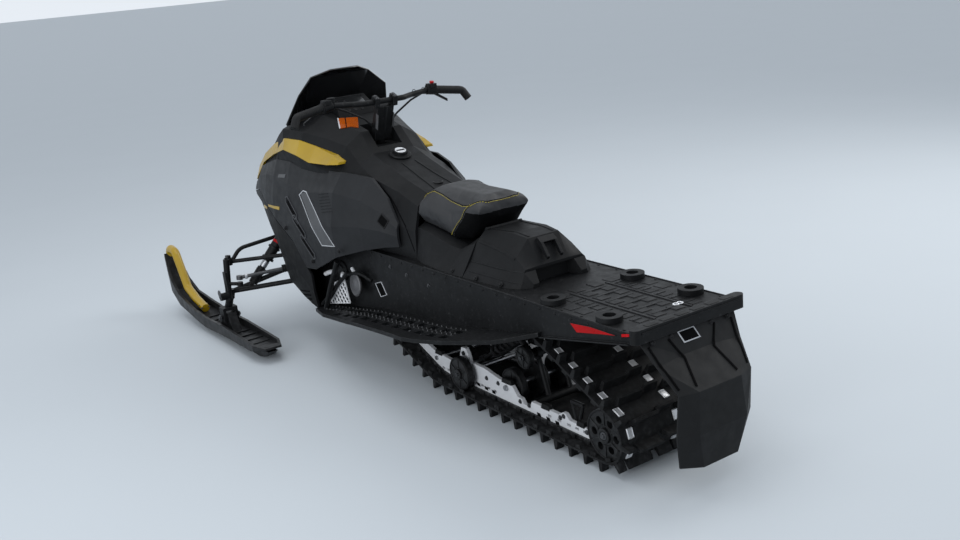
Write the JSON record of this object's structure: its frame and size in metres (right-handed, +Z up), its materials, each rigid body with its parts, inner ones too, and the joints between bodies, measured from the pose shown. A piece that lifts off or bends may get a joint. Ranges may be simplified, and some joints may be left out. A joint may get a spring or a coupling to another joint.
{
  "type": "snowmobile",
  "caption": "Crossover snowmobile with long-travel front arms, steered skis, open skid with lugged track, solo seat and a hard storage case on the tunnel.",
  "frame": {"origin": "middle of the footprint on the ground, with the rear axle of the track 1.310 m behind it", "axes": "+X forward along the sled, +Y to its left, +Z up"},
  "size_m": [3.251, 1.128, 1.165],
  "materials": {
    "sled_black": "satin powder coat",
    "body_plastic": "moulded, fine grain",
    "yellow_plastic": "semi gloss",
    "smoked_screen": "near black smoked",
    "seat_vinyl": "textured cover",
    "track_rubber": "moulded",
    "soft_rubber": "matt",
    "rail_alloy": "satin anodised",
    "slide_plastic": "worn smooth",
    "wheel_plastic": "moulded",
    "steel": "plated",
    "engine_alloy": null,
    "ski_plastic": "moulded",
    "clear_lens": "moulded lens"
  },
  "bodies": {
    "chassis": {"accessory_rings": "body_plastic", "belly_pan": "body_plastic", "console": "body_plastic", "drive_axle": "steel", "engine": "engine_alloy", "front_bumper": "sled_black", "front_shocks": "steel", "fuel_cap": "steel", "gauge": "body_plastic", "headlights": "clear_lens", "hood": "body_plastic", "idler_wheels": "wheel_plastic", "lower_arms": "sled_black", "rails": "rail_alloy", "rear_bumper": "sled_black", "rear_wheels": "wheel_plastic", "running_boards": "sled_black", "seat": "seat_vinyl", "side_panels": "body_plastic", "skid_arms": "sled_black", "skid_shocks": "steel", "slides": "slide_plastic", "snow_flap": "soft_rubber", "storage_case": "body_plastic", "tie_rods": "rail_alloy", "track": "track_rubber", "tunnel": "sled_black", "upper_arms": "sled_black", "wheel_shafts": "steel", "windshield": "smoked_screen", "yellow_panels": "yellow_plastic"},
    "handlebar": {"bar_cables": "soft_rubber", "controls": "sled_black", "grips": "soft_rubber", "handlebar": "sled_black", "steering_post": "sled_black"},
    "ski_left": {"ski_left": "ski_plastic", "ski_loop_left": "yellow_plastic", "ski_runner_left": "steel", "spindle_left": "sled_black"},
    "ski_right": {"ski_loop_right": "yellow_plastic", "ski_right": "ski_plastic", "ski_runner_right": "steel", "spindle_right": "sled_black"},
    "case_lid": {"case_lid": "body_plastic"}
  },
  "joints": [
    {"name": "steering", "type": "hinge", "parent": "chassis", "child": "handlebar", "pos_m": [0.1905, 0, 0.864], "axis": [-0.4008, 0, 0.9162], "range_deg": [-35, 35]},
    {"name": "ski_turn_left", "type": "hinge", "parent": "chassis", "child": "ski_left", "pos_m": [0.8805, 0.478, 0.215], "axis": [0, -0.0885, 0.9961], "range_deg": [-30, 30]},
    {"name": "ski_turn_right", "type": "hinge", "parent": "chassis", "child": "ski_right", "pos_m": [0.8805, -0.478, 0.215], "axis": [0, 0.0885, 0.9961], "range_deg": [-30, 30]},
    {"name": "case_lid_hinge", "type": "hinge", "parent": "chassis", "child": "case_lid", "pos_m": [-0.6295, 0, 0.641], "axis": [0, 1, 0], "range_deg": [0, 55]}
  ],
  "couplings": [
    {"joint": "ski_turn_left", "follows": "steering", "ratio": 0.8},
    {"joint": "ski_turn_right", "follows": "steering", "ratio": 0.8}
  ]
}
